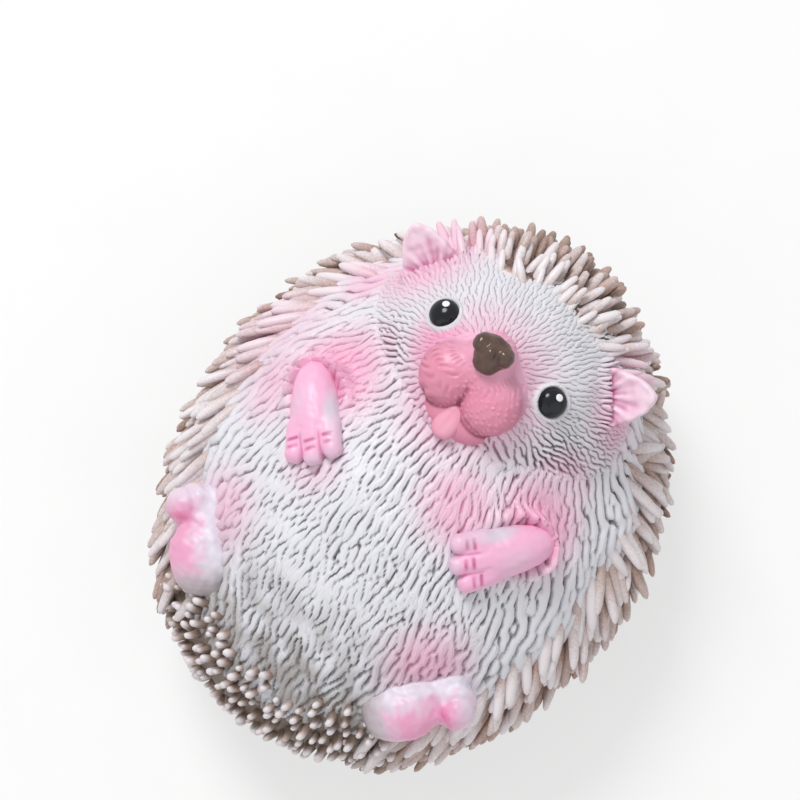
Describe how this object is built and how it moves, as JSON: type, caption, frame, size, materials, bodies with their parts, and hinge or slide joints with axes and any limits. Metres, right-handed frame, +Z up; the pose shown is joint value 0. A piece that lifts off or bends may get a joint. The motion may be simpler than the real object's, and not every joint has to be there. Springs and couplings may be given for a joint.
{
  "type": "hedgehog figure",
  "caption": "Soft moulded hedgehog figure lying on its back, with a furred belly, spined sides, a smiling face and folded paws; for holding, squeezing or display.",
  "frame": {"origin": "bottom centre of the figure's box: on the flat of the back it rests on, midway between its outermost spines", "axes": "+Z up out of the belly, +Y towards the crown of the head, +X towards the animal's left side"},
  "size_m": [0.102, 0.1202, 0.0836],
  "materials": {
    "fur_rubber": "satin",
    "spine_rubber": "satin",
    "pink_rubber": "satin",
    "base_rubber": "matte",
    "nose_gloss": "gloss",
    "eye_gloss": "gloss",
    "soft_filling": "matte"
  },
  "bodies": {
    "root": {"filling": "soft_filling", "back_base": "base_rubber", "filling_plug": "base_rubber", "belly_skin": "fur_rubber", "head": "fur_rubber", "muzzle": "pink_rubber", "nose": "nose_gloss", "tongue": "pink_rubber", "eye_left": "eye_gloss", "eye_right": "eye_gloss", "ear_left": "pink_rubber", "ear_right": "pink_rubber", "front_paw_left": "pink_rubber", "front_paw_right": "pink_rubber", "hind_foot_left": "pink_rubber", "hind_foot_right": "pink_rubber", "crown_spines": "spine_rubber", "nape_spines": "spine_rubber", "left_shoulder_spines": "spine_rubber", "right_shoulder_spines": "spine_rubber", "left_flank_spines": "spine_rubber", "right_flank_spines": "spine_rubber", "left_haunch_spines": "spine_rubber", "right_haunch_spines": "spine_rubber", "rump_spines": "spine_rubber"}
  },
  "joints": []
}
